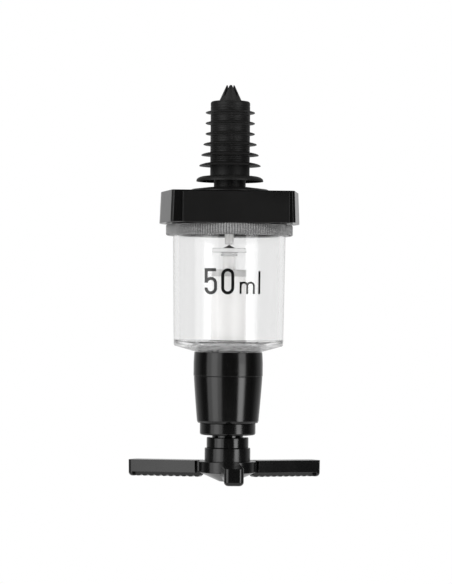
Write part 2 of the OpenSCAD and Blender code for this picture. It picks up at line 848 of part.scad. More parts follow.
// Lower ring of the hub
module hub_sleeve() {
    color(black)
        rotate_extrude()
            polygon([
                [rod_r + fit_gap, sleeve_z], [hub_sleeve_r - hub_cut, sleeve_z],
                [hub_sleeve_r, sleeve_z - hub_cut], [hub_sleeve_r, disc_z], [rod_r + fit_gap, disc_z]
            ]);
}

// Plan of one arm along +X: a narrow web, then the full width with rounded ends
module arm_plan() {
    translate([hub_disc_r - cut, -web_w / 2])
        square([arm_start - hub_disc_r + 2 * cut, web_w]);
    difference() {
        translate([arm_start, -arm_w / 2])
            square([arm_reach - arm_start, arm_w]);
        for (side = [-1, 1])
            translate([arm_reach - arm_edge_round, side * (arm_w / 2 - arm_edge_round)])
                difference() {
                    translate([0, side > 0 ? 0 : -2 * arm_edge_round])
                        square(2 * arm_edge_round);
                    circle(arm_edge_round);
                }
    }
}

// Side view of one arm, in X and Z: a flat underside and an end wall that reaches down past it
module arm_side() {
    end_foot_z = disc_z - arm_depth;
    difference() {
        union() {
            translate([0, disc_z - arm_h])
                square([arm_reach, arm_h]);
            translate([arm_reach - arm_end_t, end_foot_z])
                square([arm_end_t, arm_depth]);
        }
        translate([arm_reach - arm_tip_round, end_foot_z + arm_tip_round])
            difference() {
                translate([0, -2 * arm_tip_round])
                    square(2 * arm_tip_round);
                circle(arm_tip_round);
            }
    }
}

// Ribbed foot of one arm, in X and Z, with teeth that point down
module arm_foot_side() {
    arm_foot_z = disc_z - arm_h;
    inner_x = hub_disc_r + free_gap;
    outer_x = arm_reach - arm_end_t;
    pitch = (outer_x - inner_x) / tooth_count;
    polygon([
        [inner_x, arm_foot_z + cut],
        for (i = [0:tooth_count - 1])
            each [
                [inner_x + i * pitch, arm_foot_z - foot_h],
                [inner_x + (i + 0.3) * pitch, arm_foot_z - foot_h - tooth_h],
                [inner_x + (i + 0.7) * pitch, arm_foot_z - foot_h - tooth_h]
            ],
        [outer_x + cut, arm_foot_z - foot_h],
        [outer_x + cut, arm_foot_z + cut]
    ]);
}

module side_slab(w) {
    rotate([90, 0, 0])
        linear_extrude(w, center = true)
            children();
}

// Disc and arms that a glass pushes up
module lever() {
    color(black)
        difference() {
            union() {
                bore(hub_disc_r, disc_foot_z, hub_disc_h);
                for (i = [0:arm_count - 1])
                    rotate([0, 0, -90 + 360 * i / arm_count]) {
                        intersection() {
                            translate([0, 0, disc_z - arm_depth])
                                linear_extrude(arm_depth)
                                    arm_plan();
                            side_slab(2 * arm_w)
                                arm_side();
                        }
                        side_slab(foot_w)
                            arm_foot_side();
                    }
            }
            bore(hub_disc_r, disc_foot_z - arm_depth, arm_depth);
            bore(rod_r + fit_gap, rod_foot_z - fit_gap, hub_disc_h + cut);
            bore(nozzle_sleeve_r + fit_gap, disc_foot_z - cut, nozzle_sleeve_h + cut);
        }
}

// Coned nozzle that clamps the lever to the rod
module outlet_nozzle() {
    color(black)
        rotate_extrude()
            polygon([
                [nozzle_bore_r, rod_foot_z], [nozzle_sleeve_r, rod_foot_z],
                [nozzle_sleeve_r, disc_foot_z], [hub_disc_r - 0.1, disc_foot_z],
                [nozzle_r, nozzle_z], [nozzle_bore_r, nozzle_z]
            ]);
}

// Rubber cone that closes the spout
module valve_cone() {
    color(soft_black)
        translate([0, 0, cone_z])
            cylinder(h = cone_h, r1 = cone_r, r2 = 0);
}

module valve_disc() {
    color(clear) {
        bore(disc_r, valve_disc_z, disc_t);
        bore(disc_boss_r, stem_z, disc_boss_h);
    }
}

// Stem of the inlet valve, with the foot that its spring pushes on
module valve_stem() {
    color(milky) {
        bore(stem_r, stem_foot_z, stem_z - stem_foot_z);
        bore(stem_foot_r, stem_foot_z, stem_foot_t);
    }
}

inlet_tube();
cork_bung();
top_flange();
housing();
label_plate();
seat_plate();
inlet_spout();
chamber_gasket();
lock_ring();
chamber();
neck_gasket();
body_collar();
guide_bush();
body_shell();
nose_nut();
rod_seal();
seal_washer();
column();
column_cap();
outlet_seal();
plunger_rod();
plunger_stop();
return_spring();
valve_spring();
hub_nut();
hub_sleeve();
lever();
outlet_nozzle();
valve_cone();
valve_disc();
valve_stem();
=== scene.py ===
from math import asin, atan2, cos, hypot, pi, radians, sin

import bmesh
import bpy
from mathutils import Matrix, Vector


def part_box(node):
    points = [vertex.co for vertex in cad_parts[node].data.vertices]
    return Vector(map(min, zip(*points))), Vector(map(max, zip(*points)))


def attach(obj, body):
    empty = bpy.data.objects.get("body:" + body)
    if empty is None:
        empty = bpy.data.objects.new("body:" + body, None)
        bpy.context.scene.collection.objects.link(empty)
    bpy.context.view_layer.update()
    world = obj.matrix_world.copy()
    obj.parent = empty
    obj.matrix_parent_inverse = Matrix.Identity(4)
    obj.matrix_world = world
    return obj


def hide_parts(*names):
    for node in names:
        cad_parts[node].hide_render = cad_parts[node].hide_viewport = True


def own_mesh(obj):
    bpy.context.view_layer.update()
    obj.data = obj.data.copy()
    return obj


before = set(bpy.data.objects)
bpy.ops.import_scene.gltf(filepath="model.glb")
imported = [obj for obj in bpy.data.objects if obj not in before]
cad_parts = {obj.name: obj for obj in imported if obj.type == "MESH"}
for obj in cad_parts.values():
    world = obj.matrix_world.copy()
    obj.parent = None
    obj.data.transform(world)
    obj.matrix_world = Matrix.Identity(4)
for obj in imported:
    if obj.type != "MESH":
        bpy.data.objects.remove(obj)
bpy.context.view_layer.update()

MM = 0.001
BORE = 4.05               # of the pieces that the tube or the rod passes through, in millimetres
SLEEVE_BORE = 9.6         # of the two halves of the black body
RIBS = 148                # round the lock ring
AZIMUTH = radians(-3.5)   # of the camera, from the part's front


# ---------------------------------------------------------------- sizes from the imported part

def low(node):
    """Height of a node's underside, in millimetres."""
    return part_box(node)[0].z / MM


def high(node):
    """Height of a node's top, in millimetres."""
    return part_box(node)[1].z / MM


def reach(node):
    """Outer radius of a round node, in millimetres."""
    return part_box(node)[1].x / MM


# ---------------------------------------------------------------- shaping

def round_edges(bm, edges, size, segments=3):
    """Rounds edges off, size millimetres to each side."""
    if edges:
        bmesh.ops.bevel(
            bm, geom=edges, offset=size * MM, offset_type="OFFSET", segments=segments, profile=0.5,
            affect="EDGES", material=-1, clamp_overlap=True,
        )


def turned(profile, steps=128):
    """Spins corners of (radius, height[, rounding]) in millimetres round the axis."""
    bm = bmesh.new()
    verts = [bm.verts.new((corner[0] * MM, 0, corner[1] * MM)) for corner in profile]
    edges = [bm.edges.new(pair) for pair in zip(verts, verts[1:])]
    if profile[0][0] > 0 or profile[-1][0] > 0:
        edges.append(bm.edges.new((verts[-1], verts[0])))
    bmesh.ops.spin(
        bm, geom=verts + edges, cent=(0, 0, 0), axis=(0, 0, 1), dvec=(0, 0, 0), angle=2 * pi,
        steps=steps, use_merge=True, use_duplicate=False,
    )
    bmesh.ops.remove_doubles(bm, verts=bm.verts, dist=1e-7)
    bmesh.ops.recalc_face_normals(bm, faces=bm.faces)
    roundings = {}
    for corner in profile:
        if len(corner) > 2:
            roundings.setdefault(corner[2], []).append(corner[:2])
    for size, rings in roundings.items():
        def on_ring(vert):
            r, z = hypot(vert.co.x, vert.co.y) / MM, vert.co.z / MM
            near = (i for i, ring in enumerate(rings) if hypot(r - ring[0], z - ring[1]) < 1e-3)
            return next(near, None)

        chosen = []
        for edge in bm.edges:
            a, b = on_ring(edge.verts[0]), on_ring(edge.verts[1])
            if a is not None and a == b:
                chosen.append(edge)
        round_edges(bm, chosen, size)
    return bm


def arc(centre, radius, start, end, count):
    """Points on an arc of a profile or a plan, by its angles in degrees."""
    return [
        (
            centre[0] + radius * cos(radians(start + (end - start) * i / count)),
            centre[1] + radius * sin(radians(start + (end - start) * i / count)),
        )
        for i in range(count + 1)
    ]


def copy_of(node, flat=0.4):
    """A merged copy of a CAD node's mesh; faces that turn less than flat degrees are one again."""
    bm = bmesh.new()
    bm.from_mesh(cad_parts[node].data)
    bmesh.ops.remove_doubles(bm, verts=bm.verts, dist=2e-6)
    bmesh.ops.dissolve_limit(
        bm, angle_limit=radians(flat), verts=bm.verts, edges=bm.edges, use_dissolve_boundaries=False,
    )
    return bm


def sharp_edges(bm, angle, keep=lambda edge: True):
    """Edges whose faces turn more than an angle in degrees, if keep accepts them."""
    return [
        edge for edge in bm.edges
        if len(edge.link_faces) == 2 and edge.calc_face_angle(0) > radians(angle) and keep(edge)
    ]


def piece(name, bm, body, material, nodes, smooth=40, weighted=True):
    """Turns a finished bmesh into an object that rides on a body and stands for its CAD nodes."""
    mesh = bpy.data.meshes.new(name)
    bm.to_mesh(mesh)
    bm.free()
    mesh.polygons.foreach_set("use_smooth", [True] * len(mesh.polygons))
    mesh.set_sharp_from_angle(angle=radians(smooth))
    mesh.materials.append(material)
    made = bpy.data.objects.new(name, mesh)
    bpy.context.scene.collection.objects.link(made)
    if weighted:
        level = made.modifiers.new("even_shading", "WEIGHTED_NORMAL")
        level.keep_sharp = True
    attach(made, body)
    if nodes:
        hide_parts(*nodes)
    return made


# ---------------------------------------------------------------- shader benches

class Wire:
    """A shader value that can be used in sums."""

    def __init__(self, bench, socket):
        self.bench = bench
        self.socket = socket

    def _sum(self, operation, first, second):
        return self.bench.node("ShaderNodeMath", {"operation": operation}, {0: first, 1: second})

    def __add__(self, other):
        return self._sum("ADD", self, other)

    def __radd__(self, other):
        return self._sum("ADD", other, self)

    def __sub__(self, other):
        return self._sum("SUBTRACT", self, other)

    def __rsub__(self, other):
        return self._sum("SUBTRACT", other, self)

    def __mul__(self, other):
        return self._sum("MULTIPLY", self, other)

    def __rmul__(self, other):
        return self._sum("MULTIPLY", other, self)

    def __truediv__(self, other):
        return self._sum("DIVIDE", self, other)


class Bench:
    """The node tree of one finish, or of the world."""

    def __init__(self, owner):
        owner.use_nodes = True
        self.tree = owner.node_tree
        self.tree.nodes.clear()

    def node(self, kind, settings=None, inputs=None, output=0):
        """Adds a node with its settings first, then the values or links of its sockets."""
        made = self.tree.nodes.new(kind)
        for key, value in (settings or {}).items():
            if key == "stops":
                ramp = made.color_ramp
                while len(ramp.elements) > len(value):
                    ramp.elements.remove(ramp.elements[-1])
                while len(ramp.elements) < len(value):
                    ramp.elements.new(1.0)
                for element, (place, shade) in zip(ramp.elements, value):
                    element.position = place
                    element.color = (shade, shade, shade, 1)
            else:
                setattr(made, key, value)
        for key, value in (inputs or {}).items():
            if isinstance(value, Wire):
                self.tree.links.new(value.socket, made.inputs[key])
            else:
                made.inputs[key].default_value = value
        return Wire(self, made.outputs[output])

    def place(self):
        return self.node("ShaderNodeTexCoord", output="Object")

    def along(self, axis):
        """The place along one axis, in metres."""
        return self.node("ShaderNodeSeparateXYZ", {}, {0: self.place()}, output="XYZ".index(axis))

    def noise(self, size, detail, stretch=(1, 1, 1)):
        """Noise with features about size millimetres across, pulled out along each axis by stretch."""
        spot = self.node(
            "ShaderNodeMapping", {}, {"Vector": self.place(), "Scale": tuple(1 / s for s in stretch)}
        )
        return self.node(
            "ShaderNodeTexNoise", {},
            {"Vector": spot, "Scale": 1 / (size * MM), "Detail": detail, "Roughness": 0.55},
        )

    def ramp(self, value, *stops):
        return self.node("ShaderNodeValToRGB", {"stops": stops}, {"Fac": value})

    def blend(self, factor, first, second):
        return self.node(
            "ShaderNodeMix", {"data_type": "RGBA"}, {0: factor, 6: first, 7: second}, output=2
        )

    def edge_wear(self, start=0.52, end=0.6):
        """1 on edges that stand out, 0 on flat faces and in creases."""
        edge = self.node("ShaderNodeNewGeometry", output="Pointiness")
        return self.ramp(edge, (start, 0), (end, 1))

    def bump(self, height, depth):
        """Height as a relief, depth millimetres deep."""
        return self.node(
            "ShaderNodeBump", {}, {"Height": height, "Distance": depth * MM, "Strength": 1.0}
        )

    def diffuse(self, colour):
        return self.node("ShaderNodeBsdfDiffuse", {}, {"Color": colour})

    def mix_shader(self, factor, first, second):
        return self.node("ShaderNodeMixShader", {}, {0: factor, 1: first, 2: second})

    def clear_to_shadow(self, shader, level):
        """A shader that shadow rays pass through, so that light reaches what is inside."""
        through = self.node("ShaderNodeBsdfTransparent", {}, {"Color": rgb(level)})
        shadow_ray = self.node("ShaderNodeLightPath", output="Is Shadow Ray")
        return self.mix_shader(shadow_ray, shader, through)

    def rays(self):
        """Whether a ray is the camera's own, is reflected, or has come through something clear."""
        path = self.tree.nodes.new("ShaderNodeLightPath")
        names = ("Is Camera Ray", "Is Glossy Ray", "Is Transmission Ray")
        return [Wire(self, path.outputs[name]) for name in names]

    def dot(self, vector, way):
        """How far a vector reaches along a fixed way."""
        return self.node(
            "ShaderNodeVectorMath", {"operation": "DOT_PRODUCT"}, {0: vector, 1: tuple(way)}, output="Value"
        )

    def output(self, shader, kind="ShaderNodeOutputMaterial"):
        out = self.tree.nodes.new(kind)
        self.tree.links.new(shader.socket, out.inputs["Surface"])


def rgb(level, warm=0.0):
    """A grey, made a little warmer by a share."""
    return (level * (1 + warm), level, level * (1 - warm), 1)


def black_plastic(name, tone, roughness, ripple_size, ripple_depth, stretch=(1, 1, 1)):
    """Moulded black plastic: soft ripple, fine pores, smears and rubbed edges."""
    made = bpy.data.materials.new(name)
    bench = Bench(made)
    smear = bench.noise(11, 4, stretch=(1, 1, 2.4))
    ripple = bench.noise(ripple_size, 2, stretch=stretch)
    pores = bench.noise(0.35, 3)
    scuffs = bench.ramp(bench.noise(2.2, 6, stretch=(4, 4, 0.5)), (0.6, 0), (0.72, 1))
    rubbed = bench.edge_wear()
    colour = bench.blend(rubbed * 0.5 + smear * 0.25, rgb(tone), rgb(tone * 2.2, 0.02))
    rough = roughness + (smear - 0.5) * 0.08 + scuffs * 0.06 + rubbed * 0.1
    height = ripple + pores * 0.03
    shader = bench.node("ShaderNodeBsdfPrincipled", {}, {
        "Base Color": colour, "Roughness": rough, "IOR": 1.5,
        "Normal": bench.bump(height, ripple_depth),
    })
    bench.output(shader)
    return made


def rubber(name, tone, roughness, size, depth, bend=1.5, painted_highlight=0.0):
    """Satin rubber with mould grain, specks of dust and dull creases, and a painted highlight on what faces
    up and on rubbed edges.
    """
    made = bpy.data.materials.new(name)
    bench = Bench(made)
    grain = bench.noise(size, 5)
    rings = bench.noise(1.6, 3, stretch=(9, 9, 0.6))
    dust = bench.ramp(bench.noise(3.5, 6), (0.52, 0), (0.75, 1))
    rubbed = bench.edge_wear(0.51, 0.62)
    facing = bench.node("ShaderNodeNewGeometry", output="Normal")
    facing_up = bench.node("ShaderNodeSeparateXYZ", {}, {0: facing}, output=2)
    # Painted highlight: what faces up is made lighter, as if lit from above.
    painted_top_light = bench.ramp(facing_up, (0.3, 0), (0.9, 1)) * painted_highlight
    edge = bench.node("ShaderNodeNewGeometry", output="Pointiness")
    crease = bench.ramp(edge, (0.4, 1), (0.48, 0))
    colour = bench.blend(dust * 0.35 + rubbed * 0.4, rgb(tone), rgb(tone * 2.4, 0.03))
    # Painted highlight: what faces up and the rubbed edges are lightened towards a pale grey.
    colour = bench.blend(painted_top_light * (0.5 + grain) + rubbed * painted_highlight, colour, rgb(0.03, 0.02))
    rough = roughness + (grain - 0.5) * 0.12 + dust * 0.08 + crease * 0.12
    shader = bench.node("ShaderNodeBsdfPrincipled", {}, {
        "Base Color": colour, "Roughness": rough, "IOR": bend,
        "Normal": bench.bump(grain * 0.6 + rings * 0.4, depth),
    })
    bench.output(shader)
    return made


def clear_plastic(name, tint, roughness, flow_depth, bend, cloudy_below=None, cloud=0.0):
    """Clear moulded plastic with faint flow lines.

    Below a height in millimetres, and away from the axis, it is cloudy by a share, in upright streaks.
    """
    made = bpy.data.materials.new(name)
    bench = Bench(made)
    flow = bench.noise(6, 2, stretch=(1, 1, 5))
    haze = bench.ramp(bench.noise(4, 5), (0.45, 0), (0.8, 1))
    rubbed = bench.edge_wear(0.53, 0.6)
    body = bench.node("ShaderNodeBsdfPrincipled", {}, {
        "Base Color": bench.blend(haze * 0.3, rgb(tint), rgb(tint * 0.985)),
        "Roughness": roughness + haze * 0.02 + rubbed * 0.08,
        "IOR": bend, "Transmission Weight": 1.0,
        "Normal": bench.bump(flow, flow_depth),
    })
    if cloudy_below is not None:
        sideways = {0: bench.place(), 1: (1, 1, 0)}
        flat = bench.node("ShaderNodeVectorMath", {"operation": "MULTIPLY"}, sideways)
        out = bench.node("ShaderNodeVectorMath", {"operation": "LENGTH"}, {0: flat}, output="Value")
        mask = bench.ramp((cloudy_below - bench.along("Z") / MM) * 0.25 + 0.5, (0.42, 0), (0.6, 1))
        mask = mask * bench.ramp(out / (25 * MM), (0.56, 0), (0.64, 1))
        streaks = bench.noise(3, 3, stretch=(1, 1, 0.25))
        body = bench.mix_shader(mask * (cloud - 0.2 + streaks * 0.4), body, bench.diffuse(rgb(0.8)))
    bench.output(bench.clear_to_shadow(body, 0.98))
    return made


def ribbed_clear_plastic(name, tint, cloud, ribs):
    """Slightly cloudy plastic with painted shade that darkens the grooves between its ribs."""
    made = bpy.data.materials.new(name)
    bench = Bench(made)
    sides = {0: bench.along("Y"), 1: bench.along("X")}
    turn = bench.node("ShaderNodeMath", {"operation": "ARCTAN2"}, sides) * ribs
    # Painted shade: 1 in the grooves between the ribs, 0 on their crests.
    groove = 0.5 - 0.5 * bench.node("ShaderNodeMath", {"operation": "COSINE"}, {0: turn})
    haze = bench.noise(3, 4, stretch=(1, 1, 0.5))
    flow = bench.noise(6, 2)
    # Painted shade darkens the clear base colour in the grooves.
    body = bench.node("ShaderNodeBsdfPrincipled", {}, {
        "Base Color": bench.blend(groove * 0.8 + haze * 0.2, rgb(tint), rgb(tint * 0.72)),
        "Roughness": 0.08 + haze * 0.06, "IOR": 1.47, "Transmission Weight": 1.0,
        "Normal": bench.bump(flow, 0.01),
    })
    # Painted shade darkens the cloudy part in the grooves as well.
    cloudy = bench.diffuse(bench.blend(groove, rgb(0.48), rgb(0.1)))
    mixed = bench.mix_shader(cloud - 0.1 + haze * 0.2, body, cloudy)
    bench.output(bench.clear_to_shadow(mixed, 0.9))
    return made


def milky_plastic(name, tone, roughness, size):
    """Natural white plastic with soft turning marks and faint blotches."""
    made = bpy.data.materials.new(name)
    bench = Bench(made)
    blotch = bench.noise(size, 3, stretch=(1, 1, 3))
    marks = bench.noise(0.8, 3, stretch=(1, 1, 14))
    colour = bench.blend(blotch, rgb(tone, 0.006), rgb(tone * 0.92, 0.012))
    shader = bench.node("ShaderNodeBsdfPrincipled", {}, {
        "Base Color": colour, "Roughness": roughness + (marks - 0.5) * 0.12, "IOR": 1.5,
        "Normal": bench.bump(marks, 0.012),
    })
    bench.output(shader)
    return made


def steel(name):
    """Drawn wire with fine marks along it."""
    made = bpy.data.materials.new(name)
    bench = Bench(made)
    drawn = bench.noise(0.5, 4, stretch=(5, 5, 0.4))
    colour = bench.blend(drawn, rgb(0.62), rgb(0.5))
    shader = bench.node("ShaderNodeBsdfPrincipled", {}, {
        "Base Color": colour, "Metallic": 1.0, "Roughness": 0.28 + drawn * 0.12,
        "Normal": bench.bump(drawn, 0.01),
    })
    bench.output(shader)
    return made


def ink(name):
    """Glossy black print with a few paler specks."""
    made = bpy.data.materials.new(name)
    bench = Bench(made)
    speckle = bench.ramp(bench.noise(0.25, 4), (0.62, 0), (0.7, 1))
    colour = bench.blend(speckle * 0.4, rgb(0.008), rgb(0.03))
    shader = bench.node("ShaderNodeBsdfPrincipled", {}, {
        "Base Color": colour, "Roughness": 0.07 + speckle * 0.1, "IOR": 1.5,
    })
    bench.output(shader)
    return made


# The black ones take a tone, a roughness, then the size and depth of their relief in millimetres.
gloss_black = black_plastic("gloss_black_plastic", 0.0026, 0.17, 9, 0.03)
flange_black = black_plastic("flange_black_plastic", 0.0034, 0.42, 3, 0.03)
hub_black = black_plastic("hub_black_plastic", 0.0034, 0.13, 6, 0.02)
plate_black = black_plastic("label_black_plastic", 0.0034, 0.2, 3.2, 0.03, stretch=(0.5, 1, 2.5))
satin_black = black_plastic("satin_black_plastic", 0.007, 0.5, 2, 0.02)
# The stopper gets the painted highlight on its fin tops and rims.
stopper_black = rubber("stopper_rubber", 0.0036, 0.48, 0.5, 0.03, bend=1.37, painted_highlight=0.3)
seal_black = rubber("seal_rubber", 0.013, 0.45, 0.6, 0.015)
chamber_clear = clear_plastic(
    "clear_plastic", 0.915, 0.03, 0.01, 1.42, cloudy_below=high("chamber") - 46.6, cloud=0.3,
)
valve_clear = clear_plastic("valve_clear_plastic", 0.9, 0.05, 0.01, 1.42)
ring_clear = ribbed_clear_plastic("ring_clear_plastic", 0.88, 0.38, RIBS)
milky = milky_plastic("milky_plastic", 0.84, 0.38, 5)
valve_milky = milky_plastic("valve_plastic", 0.92, 0.3, 4)
cap_grey = milky_plastic("pale_rubber", 0.52, 0.5, 4)
spring_wire = steel("spring_steel")
mark_ink = ink("mark_ink")

# Nodes that are out of sight, or nearly so, keep their own shapes.
hidden_finishes = {
    "seat_plate": gloss_black, "chamber_gasket": seal_black, "neck_gasket": seal_black,
    "guide_bush": milky, "rod_seal": seal_black, "seal_washer": milky, "plunger_rod": milky,
    "plunger_stop": spring_wire,
}
for node_name, finish in hidden_finishes.items():
    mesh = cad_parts[node_name].data
    mesh.materials.clear()
    mesh.materials.append(finish)


# ---------------------------------------------------------------- stopper and its tube

def base_fin(core, neck, rim, rim_z):
    """Outline of the wide fin at the stopper's foot, a hollow umbrella that is steep at its rim."""
    span = rim - core
    rise = 2.0
    hollow = [
        (0.0, 0.4), (0.12, 0.5), (0.35, 0.47), (0.6, 0.3), (0.78, -0.02), (0.9, -0.45), (0.955, -0.85),
    ]
    outline = [(neck, rim_z + 0.7), (neck + 0.15, rim_z + 0.95)]
    outline += [(core + span * t, rim_z + 0.85 + h) for t, h in hollow]
    outline += [(rim - 0.22, rim_z - 0.3), (rim - 0.05, rim_z - 0.3), (rim, rim_z - 0.05)]
    crown = [(0.97, 0.3), (0.9, 0.52), (0.78, 0.72), (0.6, 0.88), (0.35, 0.97), (0.1, 1.0)]
    outline += [(core + span * t, rim_z + rise * lift) for t, lift in crown]
    outline += [(core + 0.08, rim_z + rise + 0.12), (core, rim_z + rise + 0.35)]
    return outline


def stopper_profile():
    """Outline of the stopper: a core with umbrella fins, from the bore's foot round to its head."""
    core, neck = 8.3, 6.7
    top_fin_r, base_fin_r, pitch = 10.4, 14.1, 4.46
    foot, head = low("cork_bung"), high("cork_bung")
    outline = [(BORE, foot), (neck, foot)]
    outline += base_fin(core, neck, base_fin_r, foot + 2.8)
    fins = [(top_fin_r + 0.85 * max(0, i - 2), head - 4.7 - pitch * i) for i in range(5, -1, -1)]
    for rim, rim_z in fins:
        span = rim - core
        rise = 0.26 * span
        under = [(0, -0.16), (0.05, -0.02), (0.14, 0.03), (0.45, -0.02), (0.8, -0.18)]
        outline += [(core + span * t, rim_z + rise * (1 - t) - 0.62 + h + 0.28 * t) for t, h in under]
        outline += [(rim - 0.1, rim_z - 0.3), (rim, rim_z - 0.15), (rim - 0.08, rim_z)]
        crown = [(0.9, 0.24), (0.72, 0.5), (0.5, 0.74), (0.25, 0.93), (0.1, 1.0)]
        outline += [(core + span * t, rim_z + rise * lift + 0.02) for t, lift in crown]
        outline += [(core + 0.06, rim_z + rise + 0.14), (core, rim_z + rise + 0.34)]
        for groove in (1.1, 1.9, 2.7):
            z = rim_z + rise + groove
            if z < head - 2.5:
                outline += [(core, z - 0.1), (core - 0.07, z - 0.03)]
                outline += [(core - 0.07, z + 0.03), (core, z + 0.1)]
    outline += [(core, head - 2.35), (core - 0.09, head - 2.2)]
    outline += [(core - 0.09, head - 2.05), (core, head - 1.9)]
    outline += arc((core - 1.0, head - 1.0), 1.0, 0, 90, 5)
    outline += [(BORE, head)]
    return outline


stopper = turned(stopper_profile(), 144)
piece("stopper", stopper, "measure", stopper_black, ["cork_bung"], smooth=50, weighted=False)

tip = copy_of("inlet_tube", 1.0)
shoulder = high("cork_bung") + 1


def above_shoulder(edge):
    return all(v.co.z / MM > shoulder for v in edge.verts)


round_edges(tip, sharp_edges(tip, 30, above_shoulder), 0.12, 2)
piece("slotted_tip", tip, "measure", satin_black, ["inlet_tube"])


# ---------------------------------------------------------------- housing

flange_top = high("top_flange")
roof_top = high("housing")
flange_r = reach("top_flange")
piece("top_flange_plate", turned([
    (BORE, low("top_flange")), (7.0, low("top_flange")), (7.0, roof_top),
    (flange_r - 0.1, roof_top), (flange_r, roof_top + 0.15), (flange_r, roof_top + 0.75, 0.2),
    (flange_r - 0.7, roof_top + 1.45, 0.5), (8.9, flange_top, 0.4), (BORE, flange_top),
]), "measure", flange_black, ["top_flange"])

# The block's sides and back lean in towards the roof; its front stays upright behind the plate.
DRAFT = 0.018
SIDE_WALL_R, OUTER_EDGE_R = 24.5, 25.2
block = copy_of("housing")
for vert in block.verts:
    if vert.co.z > 0:
        inward = 1 - DRAFT * vert.co.z / (roof_top * MM)
        if hypot(vert.co.x, vert.co.y) > SIDE_WALL_R * MM:
            vert.co.x *= inward
            if vert.co.y > 0:
                vert.co.y *= inward


def outer_edge(edge):
    return all(hypot(v.co.x, v.co.y) > OUTER_EDGE_R * MM for v in edge.verts)


round_edges(block, sharp_edges(block, 20, outer_edge), 0.28)
piece("housing_block", block, "measure", gloss_black, ["housing"])

plate = copy_of("label_plate")
round_edges(plate, sharp_edges(plate, 30), 0.22)
piece("bare_plate", plate, "measure", plate_black, ["label_plate"])


# ---------------------------------------------------------------- lock ring

ring_top, ring_low = high("lock_ring"), low("lock_ring")
ring_r = reach("lock_ring")
STEPS_PER_RIB = 4
RIB_DEPTH = 0.25
RING_BORE, LIP_BORE = 24.3, 23.75
ring = turned([
    (RING_BORE, ring_top, 0.15), (ring_r - 0.9, ring_top), (ring_r - 0.35, ring_top - 0.12),
    (ring_r, ring_top - 0.5), (ring_r, ring_low + 0.55), (ring_r - 0.3, ring_low + 0.16),
    (ring_r - 0.8, ring_low), (LIP_BORE, ring_low, 0.15), (LIP_BORE, ring_low + 1.0),
    (RING_BORE, ring_low + 1.0),
], RIBS * STEPS_PER_RIB)
for vert in ring.verts:
    out = hypot(vert.co.x, vert.co.y)
    if out > (ring_r - 0.4) * MM:
        turn = atan2(vert.co.y, vert.co.x) * RIBS
        vert.co.xy *= 1 - RIB_DEPTH * MM / out * (0.5 - 0.5 * cos(turn)) ** 1.5
piece("ribbed_ring", ring, "measure", ring_clear, ["lock_ring"], smooth=60, weighted=False)


# ---------------------------------------------------------------- chamber and its mark

TOP_R, FOOT_R, SIDE_HEIGHT, WALL = 23.65, 23.0, 48.0, 2.2
BEAD_R, NECK_R, NECK_BORE, SEAT_BORE = 24.15, 11.0, 9.4, 6.3
rim, neck_foot = high("chamber"), low("chamber")
corner = rim - SIDE_HEIGHT
foot = corner - 2.3
piece("clear_chamber", turned([
    (TOP_R - WALL, rim), (BEAD_R, rim, 0.1), (BEAD_R, rim - 0.8, 0.1), (TOP_R, rim - 0.8),
    (FOOT_R, corner + 0.7), (FOOT_R - 0.2, corner + 0.22), (FOOT_R - 0.65, corner - 0.05),
    (14.25, foot, 0.4), (NECK_R, foot), (NECK_R, neck_foot, 0.2), (NECK_BORE, neck_foot, 0.2),
    (NECK_BORE, foot), (SEAT_BORE, foot), (SEAT_BORE, foot + 2.0, 0.15), (9.0, foot + 2.0, 0.3),
    (FOOT_R - WALL, corner + 1.9, 0.9),
]), "measure", chamber_clear, ["chamber"], smooth=30)

MARK_R = 23.4
DIGIT_STROKE, LETTER_STROKE = 1.28, 0.82
INK_GAP, INK_THICKNESS, INK_STEP = 0.012, 0.02, 0.002


def on_chamber(x, z, depth):
    """Wraps a point of the mark, which is drawn as the camera sees it, on the chamber's outer face."""
    turn = -AZIMUTH
    angle = asin((x + MARK_R * sin(turn)) / MARK_R) - turn
    wall_r = TOP_R - (TOP_R - FOOT_R) * (rim - z) / SIDE_HEIGHT + INK_GAP + depth
    return Vector((wall_r * sin(angle), -wall_r * cos(angle), z)) * MM


def ink_stroke(bm, path, width, lift):
    """A thin raised ribbon along a path, in millimetres on the flat drawing of the mark."""
    rails = []
    for i, (x, z) in enumerate(path):
        before = path[max(0, i - 1)]
        after = path[min(len(path) - 1, i + 1)]
        along = Vector((after[0] - before[0], after[1] - before[1])).normalized()
        side = Vector((-along.y, along.x)) * width / 2
        rails.append([bm.verts.new((x + s * side.x, lift, z + s * side.y)) for s in (1, -1)])
    faces = [bm.faces.new((a[0], a[1], b[1], b[0])) for a, b in zip(rails, rails[1:])]
    grown = bmesh.ops.extrude_face_region(bm, geom=faces)
    for item in grown["geom"]:
        if isinstance(item, bmesh.types.BMVert):
            item.co.y += INK_THICKNESS


def finely(path, step=0.35):
    """The same path with points about step apart, so that it bends round the chamber."""
    out = [path[0]]
    for a, b in zip(path, path[1:]):
        count = max(1, int(hypot(b[0] - a[0], b[1] - a[1]) / step))
        for i in range(1, count + 1):
            out.append((a[0] + (b[0] - a[0]) * i / count, a[1] + (b[1] - a[1]) * i / count))
    return out


five_bar = [(-6.75, -19.62), (-11.45, -19.62)]
five_stem = [(-10.82, -19.7), (-10.82, -25.0)]
five_bowl = arc((-8.88, -25.12), 1.93, 165, 0, 12) + arc((-8.88, -27.2), 1.93, 0, -188, 16)
zero = arc((-1.92, -21.72), 2.06, 0, 180, 14) + arc((-1.92, -27.06), 2.06, 180, 360, 14)
zero += [(0.14, -21.72)]
m_stem = [(3.4, -24.55), (3.4, -29.5)]
m_arches = [
    arc((4.77, -26.15), 1.37, 180, 0, 10) + [(6.14, -29.5)],
    arc((7.5, -26.15), 1.36, 180, 0, 10) + [(8.86, -29.5)],
]
letter_l = [(11.1, -20.0), (11.1, -29.5)]

